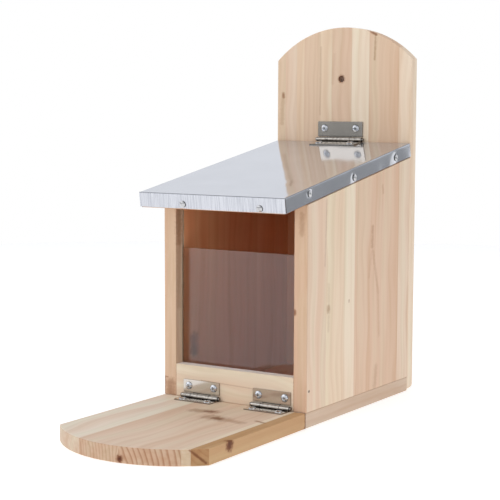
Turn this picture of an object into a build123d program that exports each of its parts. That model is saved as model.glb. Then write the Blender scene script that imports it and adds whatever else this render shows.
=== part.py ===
from build123d import *
import os
from dataclasses import dataclass
from math import cos, radians, sin, tan

# A squirrel feeding house: an open-fronted wooden box with a clear pane, a metal-clad
# lid hinged to the back board, and a landing platform hinged to the front rail.
# Working frame, in mm: X to the right, Y to the back with the box's front plane at 0,
# Z up with the underside of the base at 0. The last step centres the model on Y.

# ---------------------------------------------------------------- boards
box_width = 120.0              # over both side panels; the lid and back board match it
box_depth = 157.0              # front plane to the front face of the back board
side_thickness = 10.3
back_thickness = 9.3
base_thickness = 10.8
platform_thickness = 10.8
rail_thickness = 10.3
roof_thickness = 10.6
side_front_height = 154.8      # top of the side panels at the front plane
back_shoulder_height = 257.9
back_arch_rise = 25.3
back_foot_radius = 4.5         # the back board's two lower corners
platform_straight = 118.5      # straight length of the platform's sides
platform_arch_rise = 26.5
platform_gap = 0.5             # between the platform's rear edge and the front plane
rail_top = 34.5
edge_round = 0.5               # sanded edges of every board

# ---------------------------------------------------------------- lid
roof_slope = 10.0              # degrees, falling to the front
roof_overhang = 30.3           # front plane to the lip's face, along Y
sheet_gauge = 0.5
lip_wood_showing = 0.7         # lid board left bare under the sheet's folded edge
lip_corner_slit = 0.4          # between the front lip and each side lip
lid_rear_gap = 1.5             # lid to back board
seat_gap = 0.1                 # under the lid

# ---------------------------------------------------------------- window
pane_thickness = 2.0
pane_top = 119.0
pane_chamfer = 0.2
groove_depth = 4.0
pane_face_clearance = 0.15     # each side of the pane in its groove
pane_end_clearance = 0.3       # pane edge to groove floor
pane_seat_drop = 6.0           # depth of the rebate in the rail that carries the pane

# ---------------------------------------------------------------- hanging hole
hanging_hole_radius = 2.6
hanging_hole_x = -1.2
hanging_hole_drop = 14.9       # below the back board's shoulders

# ---------------------------------------------------------------- hinges
pin_fit = 0.05                 # radial clearance of a pin in its knuckles
knuckle_end_gap = 0.3
knuckle_notch_gap = 0.35       # round the other leaf's knuckle
barrel_lift = 0.1              # the barrel stands this far off its mounting face
leaf_hole_clearance = 0.2      # screw shank to leaf
pin_head_length = 1.2
pin_head_flare = 0.3           # its radius beyond the pin's, and its rounding
pin_head_gap = 0.1             # to the end of the barrel
roof_hinge_x = -1.5
left_hinge_inset = 7.2         # inner wall to the leaf's end
right_hinge_inset = 1.7

# ---------------------------------------------------------------- nails
pilot_clearance = 0.05
hole_bottom_gap = 0.5
side_nail_places = ((0.02, 4.4), (0.427, 7.2), (0.844, 6.5))   # share of the depth, drop from the top
front_nail_places = ((-0.39, 7.4), (0.66, 7.8))                # share of the half width, drop
rail_brad_setback = 4.0
rail_brad_drop = 9.0                       # below the rail's top
base_nail_shares = (0.13, 0.5, 0.87)       # of the depth: nails up into each side panel
back_nail_shares = (0.22, 0.55, 0.88)      # of the sides' rear height: nails into each of them
back_nail_spread = 25.0                    # X of the two nails into the base

half_width = box_width / 2
inner_half = half_width - side_thickness
back_face = box_depth + back_thickness
slope = radians(roof_slope)
downhill = Vector(0, -cos(slope), -sin(slope))
roof_normal = Vector(0, -sin(slope), cos(slope))


@dataclass
class Fastener:
    """A nail or screw along Z: its head seats at Z 0 and its shank points down."""
    head_radius: float
    rim: float
    crown: float
    shank_radius: float
    length: float
    recess: float = 0.0

    def solid(self):
        top = self.rim + self.crown
        taper = 2 * self.shank_radius
        rim_top = (self.head_radius, self.rim)
        if self.crown:
            sphere = (self.head_radius ** 2 + self.crown ** 2) / (2 * self.crown)
            cap = RadiusArc((0, top), rim_top, sphere)
        else:
            cap = Line((0, top), rim_top)
        body = Polyline(rim_top, (self.head_radius, 0), (self.shank_radius, 0),
                        (self.shank_radius, taper - self.length), (0, -self.length), (0, top))
        profile = make_face(Wire([cap] + body.edges()))
        shape = revolve(Plane.XZ * profile, Axis.Z)
        if self.recess:
            for turn in (0, 90):
                slot = Rot(0, 0, turn) * Box(2 * self.recess, 0.5 * self.recess, self.recess)
                shape -= Pos(0, 0, top) * slot
        return shape

    def hole(self, clearance=pilot_clearance, sunk=False):
        """The hole it is driven into; sunk also takes the head, flush with the face."""
        radius = self.shank_radius + clearance
        depth = self.length + hole_bottom_gap
        shape = Cylinder(radius, depth, align=(Align.CENTER, Align.CENTER, Align.MAX))
        shape += Cylinder(radius, self.rim, align=(Align.CENTER, Align.CENTER, Align.MIN))
        if sunk:
            head = self.head_radius + clearance
            shape += Cylinder(head, self.rim, align=(Align.CENTER, Align.CENTER, Align.MIN))
        return shape


roof_hinge_screw = Fastener(head_radius=2.9, rim=0.45, crown=1.0, shank_radius=1.3, length=9.0,
                            recess=1.5)
small_hinge_screw = Fastener(head_radius=2.7, rim=0.4, crown=0.9, shank_radius=1.2, length=9.0,
                             recess=1.4)
lip_nail = Fastener(head_radius=2.3, rim=0.3, crown=0.6, shank_radius=0.8, length=14.0)
board_nail = Fastener(head_radius=1.4, rim=0.8, crown=0.0, shank_radius=0.8, length=29.0)
rail_brad = Fastener(head_radius=0.9, rim=0.6, crown=0.0, shank_radius=0.6, length=24.0)


@dataclass
class Hinge:
    """A butt hinge whose pin lies along X through the local origin."""
    length: float
    reach: float               # pin axis to the leaf's free edge
    gauge: float
    pin_radius: float
    hole_reach: float          # pin axis to the screw holes
    hole_spacing: float
    screw: Fastener
    corner_radius: float = 0.5

    @property
    def barrel_radius(self):
        return self.pin_radius + pin_fit + self.gauge

    @property
    def stand_off(self):
        """Pin axis to the mounting face."""
        return self.barrel_radius + barrel_lift

    def leaf(self, owns_centre):
        """A leaf that reaches along +Y, with its mounting face looking down."""
        quarter = self.length / 4
        outer = (quarter + knuckle_end_gap / 2, self.length / 2)
        centre = (-quarter + knuckle_end_gap / 2, quarter - knuckle_end_gap / 2)
        outers = [outer, (-outer[1], -outer[0])]
        own, other = ([centre], outers) if owns_centre else (outers, [centre])
        plate = Pos(0, self.reach / 2, self.gauge / 2 - self.stand_off) * Box(
            self.length, self.reach, self.gauge)
        plate = fillet(plate.edges().filter_by(Axis.Z).group_by(Axis.Y)[-1], self.corner_radius)
        notch_depth = self.barrel_radius + knuckle_notch_gap
        for low, high in other:
            low_end = low - knuckle_end_gap
            high_end = high + knuckle_end_gap
            notch = Box(high_end - low_end, 2 * notch_depth, 4 * self.barrel_radius)
            plate -= Pos((low_end + high_end) / 2, 0, 0) * notch
        for low, high in own:
            knuckle = Rot(0, 90, 0) * Cylinder(self.barrel_radius, high - low)
            plate += Pos((low + high) / 2, 0, 0) * knuckle
        plate -= Rot(0, 90, 0) * Cylinder(self.pin_radius + pin_fit, 2 * self.length)
        for place in self.screw_places():
            plate -= place * self.screw.hole(leaf_hole_clearance)
        return plate

    def pin(self):
        """The pin, with a peened head just outside each end of the barrel."""
        shape = Cylinder(self.pin_radius, self.length + 2 * pin_head_length)
        head = Cylinder(self.pin_radius + pin_head_flare, pin_head_length)
        head = fillet(head.edges(), pin_head_flare)
        head_middle = self.length / 2 + pin_head_gap + pin_head_length / 2
        for side in (-1, 1):
            shape += Pos(0, 0, side * head_middle) * head
        return Rot(0, 90, 0) * shape

    def screw_places(self):
        top = self.gauge - self.stand_off
        return [Pos(x, self.hole_reach, top)
                for x in (-self.hole_spacing / 2, self.hole_spacing / 2)]


roof_hinge = Hinge(length=40.0, reach=14.0, gauge=0.9, pin_radius=0.9, hole_reach=8.7,
                   hole_spacing=28.0, screw=roof_hinge_screw)
small_hinge = Hinge(length=31.0, reach=11.3, gauge=0.8, pin_radius=1.0, hole_reach=7.0,
                    hole_spacing=21.5, screw=small_hinge_screw)


def slope_z(y, above=0.0):
    """Height at y of the plane that lies a given distance above the side panels' tops."""
    return side_front_height + y * tan(slope) + above / cos(slope)


def extrude_x(points, low, high):
    """A prism along X between two planes, from (y, z) points."""
    outline = Polyline([(low, y, z) for y, z in points], close=True)
    return extrude(make_face(outline), amount=high - low, dir=(1, 0, 0))


def rounded(board):
    return fillet(board.edges(), edge_round)


def block(x, y, z):
    """A box between the low and high ends given for each axis."""
    middle = [(low + high) / 2 for low, high in (x, y, z)]
    return Pos(*middle) * Box(x[1] - x[0], y[1] - y[0], z[1] - z[0])


def arched_board(straight, rise, thickness, foot_radius=0.0):
    """A board lying on Z 0 that runs along +Y and ends in an arch; its other corners may be rounded."""
    left, right = (-half_width, 0), (half_width, 0)
    shoulders = (half_width, straight), (-half_width, straight)
    arch = ThreePointArc(shoulders[0], (0, straight + rise), shoulders[1])
    sides = Polyline(shoulders[1], left, right, shoulders[0])
    board = extrude(make_face(Wire([arch] + sides.edges())), amount=thickness)
    if foot_radius:
        board = fillet(board.edges().filter_by(Axis.Z).group_by(Axis.Y)[0], foot_radius)
    return rounded(board)


def facing(origin, outward):
    """A place at origin whose Z axis points out of the surface there."""
    sideways = (0, 1, 0) if abs(Vector(outward).X) > 0.5 else (1, 0, 0)
    return Plane(origin=origin, x_dir=sideways, z_dir=outward).location


def drill(board, places, tool):
    for place in places:
        board -= place * tool
    return board


def group(shape, places):
    return Compound(children=[place * shape for place in places])


nodes = {}

# ---------------------------------------------------------------- hinge places
sheet_top = roof_thickness + sheet_gauge + seat_gap      # above the side panels' tops
roof_axis_y = box_depth - roof_hinge.stand_off
roof_axis_z = slope_z(roof_axis_y, sheet_top + roof_hinge.stand_off)
front_axis_y = -small_hinge.stand_off
front_axis_z = platform_thickness + small_hinge.stand_off
left_hinge_x = left_hinge_inset + small_hinge.length / 2 - inner_half
right_hinge_x = inner_half - right_hinge_inset - small_hinge.length / 2
upright = Rot(90, 0, 0)                                  # a leaf against a vertical face
flat = Rot(0, 0, 180)                                    # a leaf lying forward
sloping = Rot(roof_slope, 0, 0) * flat                   # a leaf lying down the roof
hinges = {
    "roof_hinge": (roof_hinge, Pos(roof_hinge_x, roof_axis_y, roof_axis_z), sloping),
    "left_hinge": (small_hinge, Pos(left_hinge_x, front_axis_y, front_axis_z), flat),
    "right_hinge": (small_hinge, Pos(right_hinge_x, front_axis_y, front_axis_z), flat),
}
fixed_screws = {}
moving_screws = {}
for name, (hinge, axis, lying) in hinges.items():
    fixed_screws[name] = [axis * upright * place for place in hinge.screw_places()]
    moving_screws[name] = [axis * lying * place for place in hinge.screw_places()]
    nodes[name + "_fixed_leaf"] = axis * upright * hinge.leaf(owns_centre=True)
    nodes[name + "_moving_leaf"] = axis * lying * hinge.leaf(owns_centre=False)
    nodes[name + "_pin"] = axis * hinge.pin()
    nodes[name + "_fixed_screws"] = group(hinge.screw.solid(), fixed_screws[name])
    nodes[name + "_moving_screws"] = group(hinge.screw.solid(), moving_screws[name])

# ---------------------------------------------------------------- nail places
side_middle = half_width - side_thickness / 2
nail_head_y = back_face - board_nail.rim
base_nails = [facing((side * side_middle, share * box_depth, board_nail.rim), (0, 0, -1))
              for side in (-1, 1) for share in base_nail_shares]
back_nails = [facing((side * side_middle, nail_head_y, share * slope_z(box_depth)), (0, 1, 0))
              for side in (-1, 1) for share in back_nail_shares]
back_nails += [facing((side * back_nail_spread, nail_head_y, base_thickness / 2), (0, 1, 0))
               for side in (-1, 1)]
brad_z = rail_top - rail_brad_drop
rail_brads = [facing((side * (half_width - rail_brad.rim), rail_brad_setback, brad_z), (side, 0, 0))
              for side in (-1, 1)]
side_nail_rows = [(share * box_depth, drop) for share, drop in side_nail_places]
side_lip_nails = [facing((side * half_width, y, slope_z(y, sheet_top - drop)), (side, 0, 0))
                  for side in (-1, 1) for y, drop in side_nail_rows]
lip_top = Vector(0, -roof_overhang, slope_z(-roof_overhang, sheet_top))
front_lip_nails = [facing(lip_top - roof_normal * drop + Vector(share * half_width, 0, 0), downhill)
                   for share, drop in front_nail_places]
lip_nails = side_lip_nails + front_lip_nails

nodes["base_nails"] = group(board_nail.solid(), base_nails)
nodes["back_nails"] = group(board_nail.solid(), back_nails)
nodes["rail_brads"] = group(rail_brad.solid(), rail_brads)
nodes["roof_sheet_nails"] = group(lip_nail.solid(), lip_nails)

# ---------------------------------------------------------------- box
groove_front = rail_thickness - pane_thickness - 2 * pane_face_clearance
for side, name in ((-1, "side_panel_left"), (1, "side_panel_right")):
    low, high = sorted((side * inner_half, side * half_width))
    panel = rounded(extrude_x([(0, base_thickness), (box_depth, base_thickness),
                               (box_depth, slope_z(box_depth)), (0, slope_z(0))], low, high))
    cut = sorted((side * (inner_half - groove_depth), side * (inner_half + groove_depth)))
    panel -= block(cut, (groove_front, rail_thickness), (0, back_shoulder_height))
    panel = drill(panel, base_nails + back_nails, board_nail.hole(sunk=True))
    nodes[name] = drill(panel, rail_brads, rail_brad.hole(sunk=True))

base = rounded(block((-half_width, half_width), (0, box_depth), (0, base_thickness)))
nodes["base_board"] = drill(base, base_nails + back_nails, board_nail.hole(sunk=True))

upright_back = arched_board(back_shoulder_height, back_arch_rise, back_thickness, back_foot_radius)
back = Pos(0, back_face, 0) * Rot(90, 0, 0) * upright_back
hanging_hole = Rot(90, 0, 0) * Cylinder(hanging_hole_radius, 4 * back_thickness)
hanging_hole_z = back_shoulder_height - hanging_hole_drop
back -= Pos(hanging_hole_x, box_depth, hanging_hole_z) * hanging_hole
back = drill(back, back_nails, board_nail.hole(sunk=True))
nodes["back_board"] = drill(back, fixed_screws["roof_hinge"], roof_hinge_screw.hole())

rail = rounded(block((-inner_half, inner_half), (0, rail_thickness), (base_thickness, rail_top)))
pane_seat = rail_top - pane_seat_drop
rail -= block((-box_width, box_width), (groove_front, box_depth), (pane_seat, 2 * rail_top))
rail = drill(rail, rail_brads, rail_brad.hole(sunk=True))
rail_screws = fixed_screws["left_hinge"] + fixed_screws["right_hinge"]
nodes["front_rail"] = drill(rail, rail_screws, small_hinge_screw.hole())

pane_half = inner_half + groove_depth - pane_end_clearance
pane_front = groove_front + pane_face_clearance
pane = block((-pane_half, pane_half), (pane_front, pane_front + pane_thickness),
             (pane_seat, pane_top))
nodes["window_pane"] = chamfer(pane.edges(), pane_chamfer)

# ---------------------------------------------------------------- platform
flat_platform = arched_board(platform_straight - platform_gap, platform_arch_rise, platform_thickness)
platform = Pos(0, -platform_gap, 0) * flat * flat_platform
platform_screws = moving_screws["left_hinge"] + moving_screws["right_hinge"]
nodes["platform_board"] = drill(platform, platform_screws, small_hinge_screw.hole())

# ---------------------------------------------------------------- lid


def roof_point(run, above):
    """(y, z) at a run up the slope from the lip's face, above the side panels' tops."""
    point = lip_top - downhill * run - roof_normal * (sheet_top - above)
    return point.Y, point.Z


def roof_slab(run, low, high, left, right):
    """A slab parallel to the roof, square to the slope in front and upright at the rear."""
    points = [roof_point(run, low), roof_point(run, high),
              (lid_rear, slope_z(lid_rear, high)), (lid_rear, slope_z(lid_rear, low))]
    return extrude_x(points, left, right)


lid_rear = box_depth - lid_rear_gap
board_top = sheet_top - sheet_gauge
board_half = half_width - sheet_gauge
lip_bottom = seat_gap + lip_wood_showing
roof_board = rounded(roof_slab(sheet_gauge, seat_gap, board_top, -board_half, board_half))
roof_board = drill(roof_board, lip_nails, lip_nail.hole())
lid_screws = moving_screws["roof_hinge"]
nodes["roof_board"] = drill(roof_board, lid_screws, roof_hinge_screw.hole())

sheet = roof_slab(0, board_top, sheet_top, -half_width, half_width)
sheet += extrude_x([roof_point(0, lip_bottom), roof_point(0, sheet_top),
                    roof_point(sheet_gauge, sheet_top), roof_point(sheet_gauge, lip_bottom)],
                   -half_width, half_width)
lip_start = sheet_gauge + lip_corner_slit
for low, high in ((-half_width, -board_half), (board_half, half_width)):
    sheet += roof_slab(lip_start, lip_bottom, sheet_top, low, high)
sheet = drill(sheet, lip_nails, lip_nail.hole())
nodes["roof_sheet"] = drill(sheet, lid_screws, roof_hinge_screw.hole())

# ---------------------------------------------------------------- write the nodes
front_tip = -(platform_straight + platform_arch_rise)
centred = Pos(0, -(front_tip + back_face) / 2, 0)
os.makedirs("parts", exist_ok=True)
for name, shape in nodes.items():
    export_step(centred * shape, f"parts/{name}.step")
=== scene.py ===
import math
import random

import bmesh
import bpy
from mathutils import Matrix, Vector, noise


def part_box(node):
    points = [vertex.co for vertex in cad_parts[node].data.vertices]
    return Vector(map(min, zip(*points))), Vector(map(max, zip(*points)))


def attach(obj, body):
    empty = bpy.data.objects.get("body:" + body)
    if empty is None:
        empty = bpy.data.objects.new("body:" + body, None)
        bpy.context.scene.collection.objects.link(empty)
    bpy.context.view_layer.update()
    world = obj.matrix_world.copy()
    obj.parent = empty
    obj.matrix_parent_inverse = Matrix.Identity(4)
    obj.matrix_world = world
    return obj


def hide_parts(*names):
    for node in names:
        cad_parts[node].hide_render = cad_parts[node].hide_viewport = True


# The looks of a wooden feeding house: materials for the CAD pieces, a mesh for the lid's zinc
# sheet, and a white studio. Lengths are in metres, except the marks, which are in mm.
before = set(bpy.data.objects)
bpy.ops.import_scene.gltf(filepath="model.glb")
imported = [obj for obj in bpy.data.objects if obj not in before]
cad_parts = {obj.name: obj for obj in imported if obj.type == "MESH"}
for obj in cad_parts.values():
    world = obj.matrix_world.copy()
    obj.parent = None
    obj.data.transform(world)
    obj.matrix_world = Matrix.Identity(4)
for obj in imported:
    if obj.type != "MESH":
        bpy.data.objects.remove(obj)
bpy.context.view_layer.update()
MM = 0.001
ROOF_SLOPE = math.radians(10)


def tone(red, green, blue):
    """A display colour, 0 to 255, as the linear colour that shaders take."""
    def linear(value):
        value /= 255
        return value / 12.92 if value <= 0.04045 else ((value + 0.055) / 1.055) ** 2.4
    return (linear(red), linear(green), linear(blue), 1.0)


# ------------------------------------------------------------------ node building
class Nodes:
    """A node tree under construction: each call adds a node and returns its output."""

    def __init__(self, tree):
        self.tree = tree

    def put(self, socket, value):
        if isinstance(value, bpy.types.NodeSocket):
            self.tree.links.new(value, socket)
        else:
            socket.default_value = value

    def node(self, kind, inputs=None, **settings):
        made = self.tree.nodes.new("ShaderNode" + kind)
        for key, value in settings.items():
            setattr(made, key, value)
        for socket, value in (inputs or {}).items():
            self.put(made.inputs[socket], value)
        return made

    def math(self, operation, *values, clamp=False):
        made = self.node("Math", operation=operation, use_clamp=clamp)
        for socket, value in zip(made.inputs, values):
            self.put(socket, value)
        return made.outputs[0]

    def vector_math(self, operation, *values):
        made = self.node("VectorMath", operation=operation)
        for socket, value in zip(made.inputs, values):
            self.put(socket, value)
        return made.outputs["Value" if operation in ("LENGTH", "DOT_PRODUCT") else "Vector"]

    def mix(self, factor, first, second, blend="MIX"):
        """A mix of two colours. The numbers are the colour mix's own sockets."""
        made = self.node("Mix", data_type="RGBA", blend_type=blend)
        for index, value in ((0, factor), (6, first), (7, second)):
            self.put(made.inputs[index], value)
        return made.outputs[2]

    def ramp(self, factor, stops, interpolation="LINEAR"):
        """A colour ramp from (position, colour or grey value) stops."""
        made = self.node("ValToRGB", {"Fac": factor})
        made.color_ramp.interpolation = interpolation
        elements = made.color_ramp.elements
        while len(elements) < len(stops):
            elements.new(0.5)
        for element, (position, colour) in zip(elements, sorted(stops, key=lambda stop: stop[0])):
            element.position = position
            element.color = colour if isinstance(colour, tuple) else (colour, colour, colour, 1)
        return made.outputs["Color"]

    def noise(self, vector, scale=1.0, detail=2.0, roughness=0.5):
        made = self.node("TexNoise", {"Vector": vector, "Scale": scale, "Detail": detail,
                                      "Roughness": roughness})
        return made.outputs["Fac"]


class Surface(Nodes):
    """A material under construction, with the Principled shader."""

    def __init__(self, name):
        self.material = bpy.data.materials.new(name)
        self.material.use_nodes = True
        super().__init__(self.material.node_tree)
        self.shader = self.tree.nodes["Principled BSDF"]

    def finish(self, **sockets):
        """Set the shader's sockets, named with _ for each space, and return the material."""
        for name, value in sockets.items():
            self.put(self.shader.inputs[name.replace("_", " ")], value)
        return self.material


KNOT = 0.9                      # marks at least this strong are solid, not clouded: knots, and the painted shade on the hanging hole's wall


def stroke(surface, place, start, end, width, strength):
    """A mark drawn from start to end, ragged at its edge: how dark it makes each point, and how
    far from its middle line each point is, in widths."""
    start, end = Vector(start), Vector(end)
    run = end - start
    offset = surface.vector_math("SUBTRACT", place, tuple(start))
    if run.length > 0:
        share = surface.vector_math("DOT_PRODUCT", offset, tuple(run / run.length_squared))
        share = surface.math("MULTIPLY", share, 1.0, clamp=True)
        made = surface.node("VectorMath", {0: tuple(run), "Scale": share}, operation="SCALE")
        offset = surface.vector_math("SUBTRACT", offset, made.outputs[0])
    distance = surface.math("DIVIDE", surface.vector_math("LENGTH", offset), width)
    ragged = surface.math("MULTIPLY_ADD", surface.noise(place, 0.5, 3.0), 0.9,
                          surface.math("SUBTRACT", distance, 0.45))
    spot = surface.ramp(ragged, [(0.0, strength), (0.45, strength * 0.75), (0.75, strength * 0.25),
                                 (1.0, 0.0)])
    if strength < KNOT:
        cloudy = surface.math("MULTIPLY_ADD", surface.noise(place, 0.22, 2.0), 1.3, 0.4, clamp=True)
        spot = surface.math("MULTIPLY", spot, cloudy)
    return spot, distance


# ------------------------------------------------------------------ wood
# the strips' tones, from pale sapwood to brown
PALE = tone(237, 226, 211)
CREAM = tone(235, 220, 200)
STRAW = tone(231, 213, 190)
TAN = tone(223, 199, 175)
PINK = tone(228, 208, 188)
ROSE = tone(222, 196, 173)
APRICOT = tone(218, 188, 163)
ASH = tone(210, 191, 172)
HONEY = tone(199, 166, 125)
# painted shadow for the lid board's side edges, under the zinc's side lips
LIP_SHADOW_EDGE = tone(140, 98, 68)

# tints that multiply a strip's tone, where more than 255 brightens, and the colour of knots
WHITE = (1.0, 1.0, 1.0, 1.0)
END_GREY = tone(226, 216, 207)
LATEWOOD = tone(196, 150, 108)
AMBER = tone(206, 160, 118)
# painted shade and warm bounced light for the faces inside the house
INTERIOR_SHADE_TINT = tone(266, 221, 192)
BARK_BROWN = tone(86, 44, 26)

RING_PITCH = 3.0                # mm between growth rings
PITH_REACH = (35, 75)           # mm from a board's middle to the piths that luck places
ENCODED_SPAN = 400.0            # mm that a pith's place covers in a colour ramp
RING_WAVER = 4.4                # mm that the rings stray in and out
GRAIN_SWAY = 16.0               # mm that streaks along the grain stray sideways
JOINT_HALF_WIDTH = 0.25         # mm each side of a glued joint's line
JOINT_DARKNESS = 0.10
END_GRAIN_RINGS = 0.8           # how strongly rings show on end grain


def strip(end, colour, rings=0.4, pith=None):
    """One glued strip, up to a share of the board's width. rings is how strongly its growth rings
    show; pith is their centre, across and deep, in mm from the board's middle."""
    return {"end": end, "colour": colour, "rings": rings, "pith": pith}


def interior_shade_mask(surface):
    """1 on the faces behind the pane, which get painted shade and warm bounced light, from the frame's
    own boxes, and 0 elsewhere.
    """
    skin = 0.25 * MM
    low = Vector((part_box("side_panel_left")[1].x - skin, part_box("window_pane")[0].y,
                  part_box("base_board")[1].z - skin))
    high = Vector((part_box("side_panel_right")[0].x + skin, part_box("back_board")[0].y + skin,
                   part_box("side_panel_right")[1].z))
    half = (high - low) / 2
    place = surface.node("TexCoord").outputs["Object"]
    offset = surface.vector_math("ABSOLUTE", surface.vector_math("SUBTRACT", place, tuple(low + half)))
    split = surface.node("SeparateXYZ", {0: surface.vector_math("DIVIDE", offset, tuple(half))}).outputs
    furthest = surface.math("MAXIMUM", split[0], surface.math("MAXIMUM", split[1], split[2]))
    return surface.math("LESS_THAN", furthest, 1.0)


class Board(Surface):
    """Edge-glued softwood, placed in mm from the board's lowest corner. grain and across name the
    board's axes."""

    def __init__(self, node, grain, across, strips):
        super().__init__("pine_" + node)
        low, high = (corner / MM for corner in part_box(node))
        size = high - low
        made = self.node("TexCoord")
        place = self.vector_math("MULTIPLY", made.outputs["Object"], (1000, 1000, 1000))
        self.place = self.vector_math("SUBTRACT", place, tuple(low))
        split = self.node("SeparateXYZ", {0: self.place}).outputs
        deep = "XYZ".replace(grain, "").replace(across, "")
        self.grain = grain
        self.along, self.side, self.depth = split[grain], split[across], split[deep]
        self.span = size["XYZ".index(across)]
        self.middle = Vector((self.span / 2, size["XYZ".index(deep)] / 2))
        self.share = self.math("DIVIDE", self.side, self.span)
        self.strips = strips
        self.starts = [0.0] + [part["end"] for part in strips[:-1]]
        facing = self.node("SeparateXYZ", {0: made.outputs["Normal"]}).outputs[grain]
        self.end_grain = self.math("GREATER_THAN", self.math("ABSOLUTE", facing), 0.6)

    def piths(self, luck):
        """Channels with each strip's pith, coded from 0 to 1 across and deep, and its rings."""
        codes = []
        for start, part in zip(self.starts, self.strips):
            turn = luck.uniform(0, 2 * math.pi)
            reach = luck.uniform(*PITH_REACH)
            pith = part["pith"] or (reach * math.cos(turn), reach * math.sin(turn))
            across, deep = (0.5 + value / ENCODED_SPAN for value in pith)
            codes.append((start, (across, deep, part["rings"], 1.0)))
        return self.node("SeparateColor", {0: self.ramp(self.share, codes, "CONSTANT")}).outputs

    def stretched_place(self, piths):
        """Places squeezed along the grain, where noise draws long wandering streaks that start
        afresh in each strip."""
        slow = self.vector_math("MULTIPLY", self.place,
                                tuple(0.016 if axis == self.grain else 0.03 for axis in "XYZ"))
        sway = self.math("MULTIPLY_ADD", self.noise(slow, 1.0, 1.0), GRAIN_SWAY, -GRAIN_SWAY / 2)
        wandering = self.math("ADD", self.side, sway)
        return self.node("CombineXYZ", {0: self.math("MULTIPLY", self.along, 0.018),
                                        1: self.math("MULTIPLY_ADD", piths[0], 90.0, wandering),
                                        2: self.depth}).outputs[0]

    def ring_radius(self, piths, stretched):
        """Distance from the strip's pith in mm, a little unsteady."""
        offsets = []
        for value, code, centre in ((self.side, piths[0], self.middle.x),
                                    (self.depth, piths[1], self.middle.y)):
            from_middle = self.math("SUBTRACT", value, centre)
            pith = self.math("MULTIPLY_ADD", code, ENCODED_SPAN, -ENCODED_SPAN / 2)
            offsets.append(self.math("POWER", self.math("SUBTRACT", from_middle, pith), 2.0))
        radius = self.math("SQRT", self.math("ADD", *offsets))
        flattened = self.vector_math("MULTIPLY", stretched, (1.0, 1.0, 0.25))
        waver = self.math("MULTIPLY_ADD", self.noise(flattened, 0.10, 2.0), RING_WAVER, -RING_WAVER / 2)
        return self.math("ADD", radius, waver)

    def marked(self, marks, radius):
        """How dark the marks make each point, and the ring radius, which they push aside."""
        darkness = None
        for start, end, width, strength in marks:
            spot, distance = stroke(self, self.place, start, end, width, strength)
            push = self.math("POWER", 2.0, self.math("MULTIPLY", distance, -1.0))
            radius = self.math("MULTIPLY_ADD", push, 1.6 * width, radius)
            darkness = spot if darkness is None else self.math("MAXIMUM", darkness, spot)
        return darkness, radius

    def plain_colour(self, stretched, fibre):
        """The strips' tones with broad soft streaks and fine fibres."""
        tones = [(start, part["colour"]) for start, part in zip(self.starts, self.strips)]
        colour = self.ramp(self.share, tones, "CONSTANT")
        drifting = self.vector_math("MULTIPLY", stretched, (1.9, 1.0, 1.0))
        rosy = self.ramp(self.noise(drifting, 0.09, 1.0),
                         [(0.34, tone(254, 255, 250)), (0.50, tone(255, 250, 246)),
                          (0.68, tone(249, 237, 228))])
        grey = self.ramp(self.noise(drifting, 0.26, 1.5),
                         [(0.33, tone(247, 243, 238)), (0.60, WHITE)])
        fibres = self.ramp(fibre, [(0.30, tone(240, 231, 221)), (0.70, WHITE)])
        colour = self.mix(1.0, colour, rosy, "MULTIPLY")
        colour = self.mix(1.0, colour, grey, "MULTIPLY")
        return self.mix(0.22, colour, fibres, "MULTIPLY")

    def ringed(self, colour, late, ring_strength, stretched):
        """The colour with latewood rings, faint and patchy on faces and strong on end grain."""
        patchy = self.ramp(self.noise(stretched, 0.06, 1.0), [(0.42, 0.0), (0.66, 0.11)])
        gain = self.mix(self.end_grain, patchy, (END_GRAIN_RINGS, END_GRAIN_RINGS, END_GRAIN_RINGS, 1.0))
        shown = self.math("MULTIPLY", self.math("MULTIPLY", late, ring_strength), gain, clamp=True)
        return self.mix(shown, colour, self.mix(1.0, colour, LATEWOOD, "MULTIPLY"))

    def jointed(self, colour):
        """The colour with a thin line where two strips meet."""
        lines = []
        width = JOINT_HALF_WIDTH / self.span
        for end in self.starts[1:]:
            lines += [(end - width, 0.0), (end, 1.0), (end + width, 0.0)]
        if not lines:
            return colour
        line = self.ramp(self.share, lines)
        return self.mix(self.math("MULTIPLY", line, JOINT_DARKNESS), colour, BARK_BROWN)

    def stained(self, colour, darkness):
        """The colour with an amber halo round each mark and bark brown inside it."""
        halo = self.mix(1.0, colour, AMBER, "MULTIPLY")
        colour = self.mix(self.math("MULTIPLY", darkness, 1.2, clamp=True), colour, halo)
        return self.mix(self.math("POWER", darkness, 1.25), colour, BARK_BROWN)


def wood(node, grain, across, strips, marks=(), inner=False, end_tint=WHITE):
    """A board's material. marks are knots, dark streaks and painted shade: (start, end, width,
    strength), in mm from the board's lowest corner. inner paints warm shade and bounced light onto
    the faces inside the house, and end_tint darkens the end grain."""
    board = Board(node, grain, across, strips)
    piths = board.piths(random.Random(node))
    stretched = board.stretched_place(piths)
    radius = board.ring_radius(piths, stretched)
    darkness, radius = board.marked(marks, radius)
    ring = board.math("FRACT", board.math("DIVIDE", radius, RING_PITCH))
    late = board.ramp(ring, [(0.0, 0.0), (0.40, 0.10), (0.82, 1.0), (1.0, 0.0)], "EASE")
    fibre = board.noise(stretched, 2.2, 3.0, 0.6)

    colour = board.plain_colour(stretched, fibre)
    colour = board.ringed(colour, late, piths[2], stretched)
    colour = board.mix(board.end_grain, colour, board.mix(1.0, colour, end_tint, "MULTIPLY"))
    colour = board.jointed(colour)
    if marks:
        colour = board.stained(colour, darkness)
    # painted shade and warm bounced light on the faces inside the house
    if inner:
        shaded_inside = board.mix(1.0, colour, INTERIOR_SHADE_TINT, "MULTIPLY")
        colour = board.mix(interior_shade_mask(board), colour, shaded_inside)

    height = board.math("MULTIPLY_ADD", late, 0.4, fibre)
    bump = board.node("Bump", {"Height": height, "Strength": 0.2, "Distance": 0.0001})
    roughness = board.math("MULTIPLY_ADD", fibre, 0.16, 0.48)
    return board.finish(Base_Color=colour, Roughness=roughness, Normal=bump.outputs[0],
                        Specular_IOR_Level=0.3)


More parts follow.
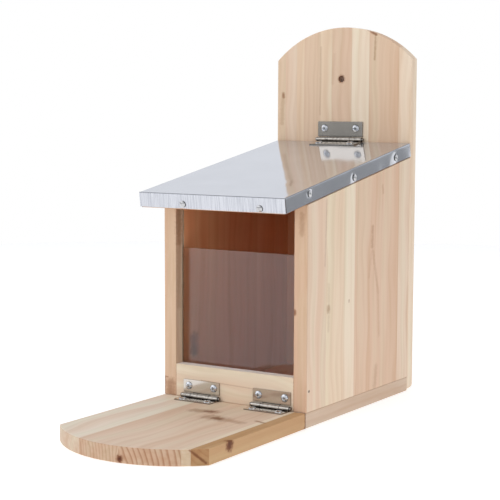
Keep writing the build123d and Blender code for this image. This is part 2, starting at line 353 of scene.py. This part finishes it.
wood_boards = {
    "back_board": dict(
        grain="Z", across="X", inner=True,
        strips=[strip(0.06, TAN), strip(0.145, PINK), strip(0.205, STRAW), strip(0.33, TAN),
                strip(0.415, STRAW), strip(0.565, ROSE), strip(0.695, CREAM, 0.1),
                strip(0.91, TAN, 0.5), strip(1.0, CREAM, 0.2)],
        # the first mark is painted shade on the hanging hole's wall
        marks=[((58.8, 0, 243), (58.8, 9.3, 243), 3.9, 1.0),            # the hanging hole's wall
               ((5.2, 0, 231), (5.6, 0, 229), 2.2, 0.5),                # the left edge
               ((5.0, 0, 228), (4.0, 0, 208), 3.0, 0.16),
               ((82, 0, 281.5), (89, 0, 277.0), 1.7, 0.6),              # the arch
               ((88.6, 0, 275), (88.0, 0, 258), 1.3, 0.28),
               ((40, 0, 268), (39.6, 0, 215), 1.3, 0.13),               # faint long streaks
               ((52, 0, 262), (51, 0, 240), 2.2, 0.08)]),
    # the side panels' first strip is only their front edge
    "side_panel_right": dict(
        grain="Z", across="Y", inner=True,
        strips=[strip(0.004, APRICOT), strip(0.17, PINK, 0.12), strip(0.34, STRAW, 0.12),
                strip(0.435, CREAM, 0.05), strip(0.70, ROSE, 0.5), strip(0.88, ROSE, 0.4),
                strip(1.0, PINK, 0.2)],
        marks=[((10, 96, 122), (10, 95.5, 108), 3.0, 0.24),             # the long rear streak
               ((10, 94.5, 104), (10, 91, 86), 2.4, 0.10),
               ((10, 97, 104), (10, 106, 72), 2.6, 0.16),
               ((10, 106, 72), (10, 108, 40), 2.4, 0.11),
               ((10, 104, 16), (10, 102, 2), 4.0, 0.16),
               ((10, 30.4, 70), (10, 30.4, 67.5), 3.4, 0.34),           # the knots and their streak
               ((10, 30.4, 86), (10, 30.4, 54), 2.4, 0.11),
               ((10, 60.5, 72), (10, 60.5, 70.5), 1.0, 0.5),
               ((10, 26.8, 146), (10, 24.8, 100), 1.3, 0.17),           # under the lid
               ((10, 111, 152), (10, 112, 147), 2.2, 0.14),
               ((0.7, 0, 70.5), (0.7, 0, 68.5), 1.8, 0.6),              # the front edge
               ((6, 0, 137), (6, 0, 124), 3.0, 0.22)]),
    "side_panel_left": dict(
        grain="Z", across="Y", inner=True,
        strips=[strip(0.004, APRICOT), strip(0.33, TAN), strip(0.7, ROSE), strip(1.0, PINK)],
        marks=[((5.5, 0, 8), (5.5, 0, 1), 6.5, 0.38),                   # the foot's amber stain
               ((0.3, 0, 13), (0.3, 0, 1), 1.2, 0.5),
               ((0.3, 0, 13.2), (3.0, 0, 13.0), 0.7, 0.4),
               # the next two marks are painted shade on the inner face in front of the pane, darker near
               # the lid
               ((10.8, 3.8, 155), (10.8, 3.8, 112), 4.6, 0.36),         # in front of the pane
               ((10.8, 3.8, 112), (10.8, 3.8, 66), 4.2, 0.18),
               ((10.8, 24, 30), (10.8, 24, 39), 7.0, 0.65),             # the stain behind the pane
               ((0, 58, 96), (0, 58, 94), 3.6, 0.7),                    # the outer face
               ((0, 112, 40), (0, 113, 30), 2.4, 0.35)]),
    "base_board": dict(
        grain="Y", across="X", inner=True,
        strips=[strip(0.4, PINK), strip(0.75, TAN), strip(1.0, ASH)]),
    "front_rail": dict(
        grain="X", across="Z",
        strips=[strip(1.0, CREAM, 0.4, (-22, -14))],
        marks=[((22, 0, 13.6), (70, 0, 12.2), 0.6, 0.2)]),
    "roof_board": dict(
        grain="Y", across="X",
        # the first and last strips are painted shadow under the zinc's side lips
        strips=[strip(0.008, LIP_SHADOW_EDGE), strip(0.35, APRICOT), strip(0.7, TAN),
                strip(0.992, APRICOT), strip(1.0, LIP_SHADOW_EDGE)]),
    "platform_board": dict(
        grain="Y", across="X", end_tint=END_GREY,
        strips=[strip(0.29, PALE, 0.12), strip(0.575, PINK, 0.45, (-52, -6)),
                strip(0.89, PINK, 0.8, (-12, -10)), strip(0.927, CREAM, 0.1),
                strip(1.0, HONEY, 0.25, (95, 30))],
        marks=[((51, 111.3, 10.8), (64, 114, 10.8), 7.5, 0.36),         # the knots on top
               ((59, 113, 10.8), (63, 114, 10.8), 4.5, 0.7),
               ((71, 99.5, 10.8), (82, 98, 10.8), 9.5, 0.34),
               ((76, 99, 10.8), (80, 98.5, 10.8), 6.0, 0.7),
               ((83, 98.0, 10.8), (98, 96.3, 10.8), 5.5, 0.26),
               ((104, 106.5, 10.8), (111, 104.4, 10.8), 2.2, 0.45),
               ((121, 49.6, 9.0), (121, 49.4, 8.0), 5.6, 1.0),          # in the edges
               ((70, 0.6, 3.0), (70, 0.6, 2.6), 3.2, 1.0),
               ((111.4, 17.6, 10.2), (118.4, 25.0, 1.8), 1.2, 0.6),
               ((120, 144.4, 0.4), (120, 144.4, 10.4), 1.5, 0.8),       # painted shadow of the gap at the rear joint
               ((120, 144.4, 0.4), (120, 143.9, 0.4), 2.4, 0.8)]),
}


# ------------------------------------------------------------------ metal and acrylic
def centres(node):
    """The middle of each separate solid in a node, from its mesh, in a fixed order."""
    made = bmesh.new()
    made.from_mesh(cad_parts[node].data)
    bmesh.ops.remove_doubles(made, verts=made.verts, dist=1e-6)
    waiting = set(made.verts)
    found = []
    while waiting:
        front = [waiting.pop()]
        solid = list(front)
        while front:
            reached = {edge.other_vert(vert) for vert in front for edge in vert.link_edges} & waiting
            waiting -= reached
            solid += reached
            front = list(reached)
        corners = [[pick(vert.co[axis] for vert in solid) for axis in range(3)] for pick in (min, max)]
        found.append((Vector(corners[0]) + Vector(corners[1])) / 2)
    made.free()
    return sorted(found, key=tuple)


# the colour of painted shade in screw crosses and round hinge pins
SHADE_MARK_COLOUR = tone(46, 42, 40)
# painted shade for narrow gaps at the hinge knuckles and nail heads
GAP_SHADE = tone(58, 52, 48)
GAP_SHADE_REACH = 2.2 * MM          # gaps narrower than this get painted shade
# a painted dark reflection along the lid's folds
FOLD_DARK_REFLECTION = tone(104, 106, 110)
RECESS_RADIUS = 1.15            # mm, of the painted shade in a screw's cross
# how strong the painted shade in a screw's cross is
RECESS_SHADE = 0.85
# painted shade that darkens the hinge knuckles round each pin
KNUCKLE_SHADE_RADIUS = 2.6            # mm round a hinge pin, just past the knuckles
KNUCKLE_SHADE = 0.75


def metal(name, colour, roughness, variation=0.06, lid=False, shade_marks=(), shade_gaps=False, metallic=1.0):
    """Bright metal. lid brushes it along Y, streaks the front lip upright, which also paints its
    reflection darker, and paints a dark reflection on the folds; dirty holds marks of painted shade,
    (start, end, width, strength) in mm; grimy paints shade into narrow gaps."""
    surface = Surface(name)
    made = surface.node("TexCoord")
    place = made.outputs["Object"]
    scales = (900, 25, 900) if lid else (400, 400, 400)
    grains = surface.vector_math("MULTIPLY", place, scales)
    streak = surface.noise(grains, 1.0, 3.0, 0.6)
    cloud = surface.noise(place, 45.0, 2.0)
    rough = surface.math("MULTIPLY_ADD", streak, variation, roughness)
    rough = surface.math("MULTIPLY_ADD", cloud, variation, rough)
    darker = tuple(channel * 0.88 for channel in colour[:3]) + (1.0,)
    shade = surface.mix(cloud, darker, colour)
    if lid:
        # upright streaks on the front lip: real marks, which also paint the lip's reflection darker
        upright = surface.vector_math("MULTIPLY", place, (1100, 20, 45))
        lip_streaks_and_shade = surface.ramp(surface.noise(upright, 1.0, 2.0),
                               [(0.32, tone(226, 227, 230)), (0.60, WHITE)])
        facing = surface.node("SeparateXYZ", {0: made.outputs["Normal"]}).outputs
        front = surface.math("LESS_THAN", facing["Y"], -0.9)
        shade = surface.mix(front, shade, surface.mix(1.0, shade, lip_streaks_and_shade, "MULTIPLY"))
        # painted dark reflection on the folds, where the sheet faces between upright and flat
        fold_reflection = surface.ramp(facing["Z"], [(0.25, 0.0), (0.40, 0.7), (0.80, 0.7), (0.92, 0.0)])
        shade = surface.mix(fold_reflection, shade, FOLD_DARK_REFLECTION)
    millimetres = surface.vector_math("MULTIPLY", place, (1000, 1000, 1000))
    # painted shade from the marks, in screw crosses and round hinge pins
    for start, end, width, strength in shade_marks:
        shade_mark, _ = stroke(surface, millimetres, start, end, width, strength)
        shade = surface.mix(shade_mark, shade, SHADE_MARK_COLOUR)
    # painted shade in narrow gaps, from ambient occlusion
    if shade_gaps:
        opening = surface.node("AmbientOcclusion", {"Distance": GAP_SHADE_REACH}, samples=8)
        open_air = surface.ramp(opening.outputs["AO"], [(0.42, 0.0), (0.90, 1.0)])
        shade = surface.mix(open_air, GAP_SHADE, shade)
    bump = surface.node("Bump", {"Height": streak, "Strength": 0.12, "Distance": 0.00004})
    return surface.finish(Base_Color=shade, Metallic=metallic, Roughness=rough, Normal=bump.outputs[0])


def knuckle_shade_mark(node):
    """Painted shade on the knuckles round a hinge pin, which lies along X."""
    low, high = (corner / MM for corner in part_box(node))
    middle = (low + high) / 2
    return (low.x, middle.y, middle.z), (high.x, middle.y, middle.z), KNUCKLE_SHADE_RADIUS, KNUCKLE_SHADE


zinc = metal("zinc_sheet", tone(214, 216, 222), 0.04, 0.05, lid=True, metallic=0.87)
nickel = metal("nickel_steel", tone(213, 206, 197), 0.05, 0.05, shade_gaps=True,
               shade_marks=[knuckle_shade_mark(node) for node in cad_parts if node.endswith("_pin")])
nail_steel = metal("steel_nail", tone(205, 205, 206), 0.16, shade_gaps=True)
brad_steel = metal("brad_steel", tone(112, 100, 90), 0.40)


def screw_steel(node):
    """Bright screws with painted shade in their crosses. Each node's screws all point one way."""
    if "fixed" in node:
        axis = Vector((0, 1, 0))
    elif "roof" in node:
        axis = Vector((0, -math.sin(ROOF_SLOPE), math.cos(ROOF_SLOPE)))
    else:
        axis = Vector((0, 0, 1))
    reach = 10 * axis               # past both ends of any screw
    crosses = [(centre / MM - reach, centre / MM + reach, RECESS_RADIUS, RECESS_SHADE)
               for centre in centres(node)]
    return metal(node + "_steel", tone(214, 216, 220), 0.08, shade_marks=crosses)


def acrylic():
    """Clear sheet, very slightly wavy."""
    surface = Surface("clear_acrylic")
    place = surface.node("TexCoord").outputs["Object"]
    ripple = surface.noise(place, 18.0, 1.0)
    bump = surface.node("Bump", {"Height": ripple, "Strength": 0.1, "Distance": 0.0003})
    clear = (0.97, 0.975, 0.975, 1)
    return surface.finish(Base_Color=clear, Roughness=0.02, IOR=1.49,
                          Transmission_Weight=1.0, Normal=bump.outputs[0])


def dress(node, material):
    """Give a CAD node its material, through its slots."""
    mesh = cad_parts[node].data
    mesh.materials.clear()
    mesh.materials.append(material)


for node, choices in wood_boards.items():
    dress(node, wood(node, **choices))
dress("window_pane", acrylic())
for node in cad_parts:
    if node.endswith("nails"):
        dress(node, nail_steel)
    elif node.endswith("brads"):
        dress(node, brad_steel)
    elif node.endswith("screws"):
        dress(node, screw_steel(node))
    elif "hinge" in node:
        dress(node, nickel)


# ------------------------------------------------------------------ the lid's zinc sheet
class LidSheet:
    """Thin sheet folded down over three edges of the lid board and nailed there. Its points are
    given by x, run (up the slope from the front lip's face) and out (off the flat top)."""
    slope = ROOF_SLOPE
    gauge = 0.5 * MM
    bend = 0.65 * MM                # outer radius of the folds
    slit = 0.9 * MM                 # run at which the side lips start
    step = 2.0 * MM                 # between points on the top
    lip_step = 1.2 * MM             # between points down a lip
    fold_turns = 6                  # steps round a fold
    spring = 0.40 * MM              # how far a lip stands off between its nails
    nail_reach = 9 * MM             # how far a nail holds the lip down
    dent = 0.5 * MM                 # less than gauge and gap together, so the board doesn't show
    dent_radius = 3.0 * MM
    ripple = 0.22 * MM              # height of the top's slow waves
    kink_run = 43 * MM              # where the top bends a little over the house's front
    kink = 0.07 * MM
    kink_width = 7 * MM
    calm_edge = 8 * MM              # the waves die out this near the folds
    calm_rear = 20 * MM             # and this near the rear edge

    def __init__(self):
        low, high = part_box("roof_sheet")
        self.half = high.x
        self.front = Vector((0, low.y, high.z - (high.y - low.y) * math.tan(self.slope)))
        self.length = (high.y - low.y) / math.cos(self.slope)
        self.depth = (self.front.z - low.z) / math.cos(self.slope)
        self.uphill = Vector((0, math.cos(self.slope), math.sin(self.slope)))
        self.normal = Vector((0, -math.sin(self.slope), math.cos(self.slope)))
        self.side_nails = []            # where the nails pass through the lips, in (x, run, out)
        self.front_nails = []
        for nail in (self.local(centre) for centre in centres("roof_sheet_nails")):
            if abs(nail.x) > 0.8 * self.half:
                self.side_nails.append(Vector((math.copysign(self.half, nail.x), nail.y, nail.z)))
            else:
                self.front_nails.append(Vector((nail.x, 0, nail.z)))

    def local(self, point):
        offset = point - self.front
        return Vector((point.x, offset.dot(self.uphill), offset.dot(self.normal)))

    def place(self, x, run, out):
        return self.front + Vector((x, 0, 0)) + run * self.uphill + out * self.normal

    def fold(self, edge, inward):
        """(place across, out) from the lip's free edge round the fold to the flat top."""
        rows = round((self.depth - self.bend) / self.lip_step)
        points = [(edge, -self.depth + (self.depth - self.bend) * row / rows) for row in range(rows)]
        for turn in range(self.fold_turns + 1):
            angle = math.pi / 2 * turn / self.fold_turns
            points.append((edge + inward * self.bend * (1 - math.cos(angle)),
                           self.bend * (math.sin(angle) - 1)))
        return points

    def held(self, along, nails):
        """0 at a nail and 1 well away from all of them."""
        return 1 - max(math.exp(-((along - nail) / self.nail_reach) ** 2) for nail in nails)

    def shaped(self, x, run, out):
        """The same point with the sheet's waves, dents and sprung lips added."""
        point = Vector((x, run, out))
        drop = min(1.0, max(0.0, -out / self.depth))      # 0 on the top, 1 at a lip's free edge
        flat = 1 - min(1.0, drop * 12)                    # 1 on the top, 0 on a lip
        if run < self.slit / 2:
            away = Vector((0, -1, 0))
            amount = self.held(x, [nail.x for nail in self.front_nails])
        else:
            away = Vector((math.copysign(1, x), 0, 0))
            amount = self.held(run, [nail.y for nail in self.side_nails])
        edge_wave = noise.noise(Vector((x * 60, run * 60, 4.0)))
        push = self.spring * drop * amount * (0.7 + 0.6 * edge_wave)
        for nail in self.side_nails + self.front_nails:
            gap = (nail - point).length
            push -= self.dent * math.exp(-(gap / self.dent_radius) ** 2) * min(1.0, drop * 4)
        point += away * push
        wave = noise.noise(Vector((x * 22, run * 14, 1.5)))
        wave += 0.35 * noise.noise(Vector((x * 70, run * 30, 7.5)))
        inside = min(1.0, (self.half - abs(x)) / self.calm_edge) * min(1.0, run / self.calm_edge)
        inside *= min(1.0, (self.length - run) / self.calm_rear)
        kink = self.kink * math.exp(-((run - self.kink_run) / self.kink_width) ** 2)
        point.z += flat * max(0.0, inside) * (self.ripple * wave - self.ripple * 0.4 - kink)
        return self.place(*point)

    def grid(self, made, rows):
        """Faces between rows of points, which all have the same number of points."""
        verts = [[made.verts.new(self.shaped(*point)) for point in row] for row in rows]
        for row, following in zip(verts, verts[1:]):
            for corner in range(len(row) - 1):
                made.faces.new((row[corner], row[corner + 1], following[corner + 1], following[corner]))

    def build(self):
        """The sheet as one object: the top with both side lips, and the front lip."""
        columns = round((self.half - self.bend) * 2 / self.step)
        inner = self.half - self.bend
        top = [-inner + 2 * inner * column / columns for column in range(columns + 1)]
        lengths = round((self.length - self.slit) / self.step)
        runs = [self.slit + (self.length - self.slit) * row / lengths for row in range(lengths + 1)]
        left = self.fold(-self.half, 1)
        right = list(reversed(self.fold(self.half, -1)))
        section = left[:-1] + [(x, 0.0) for x in top] + right[1:]
        across = [-self.half] + top + [self.half]
        made = bmesh.new()
        self.grid(made, [[(x, run, out) for x, out in section] for run in runs])
        lip = self.fold(0.0, 1) + [(self.slit, 0.0)]
        self.grid(made, [[(x, run, out) for x in across] for run, out in lip])
        bmesh.ops.remove_doubles(made, verts=made.verts, dist=1e-6)
        mesh = bpy.data.meshes.new("zinc_lid_sheet")
        made.to_mesh(mesh)
        made.free()
        piece = bpy.data.objects.new("zinc_lid_sheet", mesh)
        bpy.context.scene.collection.objects.link(piece)
        thicken = piece.modifiers.new("gauge", "SOLIDIFY")
        thicken.thickness = self.gauge
        thicken.offset = -1.0
        settle(piece)
        return piece


SHARP_ANGLE = math.radians(40)


def settle(piece):
    """Apply the piece's modifiers and shade it smooth, with sharp edges kept."""
    evaluated = piece.evaluated_get(bpy.context.evaluated_depsgraph_get())
    mesh = bpy.data.meshes.new_from_object(evaluated)
    piece.modifiers.clear()
    piece.data = mesh
    mesh.shade_smooth()
    mesh.set_sharp_from_angle(angle=SHARP_ANGLE)


lid_sheet = LidSheet().build()
lid_sheet.data.materials.append(zinc)
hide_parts("roof_sheet")
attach(lid_sheet, "lid")


# ------------------------------------------------------------------ studio
def look(obj, target, roll=0.0):
    """Point a light or camera at a target, turned by roll about its own line of sight."""
    away = obj.location - Vector(target)
    obj.rotation_euler = away.to_track_quat("Z", "Y").to_euler()
    if roll:
        obj.rotation_euler.rotate_axis("Z", roll)


def softbox(name, location, target, size, power):
    """A square white area light; its size is in metres and its power in watts."""
    light = bpy.data.lights.new(name, "AREA")
    light.shape = "SQUARE"
    light.size = size
    light.energy = power
    obj = bpy.data.objects.new(name, light)
    bpy.context.scene.collection.objects.link(obj)
    obj.location = location
    look(obj, target)
    return obj


# the rim one stands behind the object, where some views would show it, so it is hidden from the
# camera; the top and front ones are hidden from reflections
middle = (0, 0.02, 0.1)
top = softbox("top_softbox", (0.1, -0.2, 1.6), middle, 1.4, 9.0)
softbox("left_softbox", (-1.3, -1.2, 1.1), middle, 2.0, 6.7)
softbox("right_softbox", (1.5, -0.6, 0.8), middle, 1.2, 2.7)
front = softbox("front_softbox", (-0.5, -1.6, 0.3), middle, 0.8, 3)
rim = softbox("rim_softbox", (0.42, 1.44, 0.30), middle, 0.5, 0.55)
rim.visible_camera = False
for light in (top, front):
    light.visible_glossy = False

# the floor is a round white table top, just under the object
FLOOR_RADIUS = 1.3
FLOOR_DROP = 0.0002
FLOOR_GLOW = 0.47               # makes the floor as white as the background
table = bmesh.new()
bmesh.ops.create_circle(table, cap_ends=True, segments=96, radius=FLOOR_RADIUS)
floor_mesh = bpy.data.meshes.new("floor")
table.to_mesh(floor_mesh)
table.free()
floor = bpy.data.objects.new("floor", floor_mesh)
bpy.context.scene.collection.objects.link(floor)
floor.location.z = -FLOOR_DROP
paper = Surface("floor_paper")
floor_mesh.materials.append(paper.finish(Base_Color=(0.80, 0.80, 0.80, 1), Roughness=0.9,
                                         Specular_IOR_Level=0.1, Emission_Color=WHITE,
                                         Emission_Strength=FLOOR_GLOW))

# the room is white to the camera; for everything else it is dim at the horizon, bright up to about
# 30 degrees and dark from about 40 degrees up; the stops are at the sines of those angles
world = bpy.data.worlds.new("studio")
bpy.context.scene.world = world
world.use_nodes = True
sky = Nodes(world.node_tree)
direction = sky.node("TexCoord").outputs["Generated"]
upward = sky.node("SeparateXYZ", {0: direction}).outputs["Z"]
room = sky.ramp(upward, [(0.0, (0.30, 0.31, 0.32, 1)), (0.04, (0.66, 0.68, 0.71, 1)),
                         (0.30, (0.84, 0.86, 0.90, 1)), (0.52, (0.95, 0.96, 1.0, 1)),
                         (0.66, (0.28, 0.29, 0.31, 1)), (1.0, (0.22, 0.22, 0.24, 1))])
seen = sky.mix(sky.node("LightPath").outputs["Is Camera Ray"], room, WHITE)
sky.put(sky.tree.nodes["Background"].inputs["Color"], seen)

# ------------------------------------------------------------------ camera
# fitted to the edges of the box
LENS = 100.65                   # mm
CAMERA_PLACE = (0.53612, -0.83023, 0.22165)
CAMERA_TARGET = (-0.0372, 0.06935, 0.1116)
CAMERA_ROLL = math.radians(0.22)
camera_data = bpy.data.cameras.new("camera")
camera = bpy.data.objects.new("camera", camera_data)
bpy.context.scene.collection.objects.link(camera)
camera_data.lens = LENS
camera_data.clip_start = 0.01
camera.location = CAMERA_PLACE
look(camera, CAMERA_TARGET, CAMERA_ROLL)
bpy.context.scene.camera = camera
bpy.context.scene.view_settings.view_transform = "Standard"
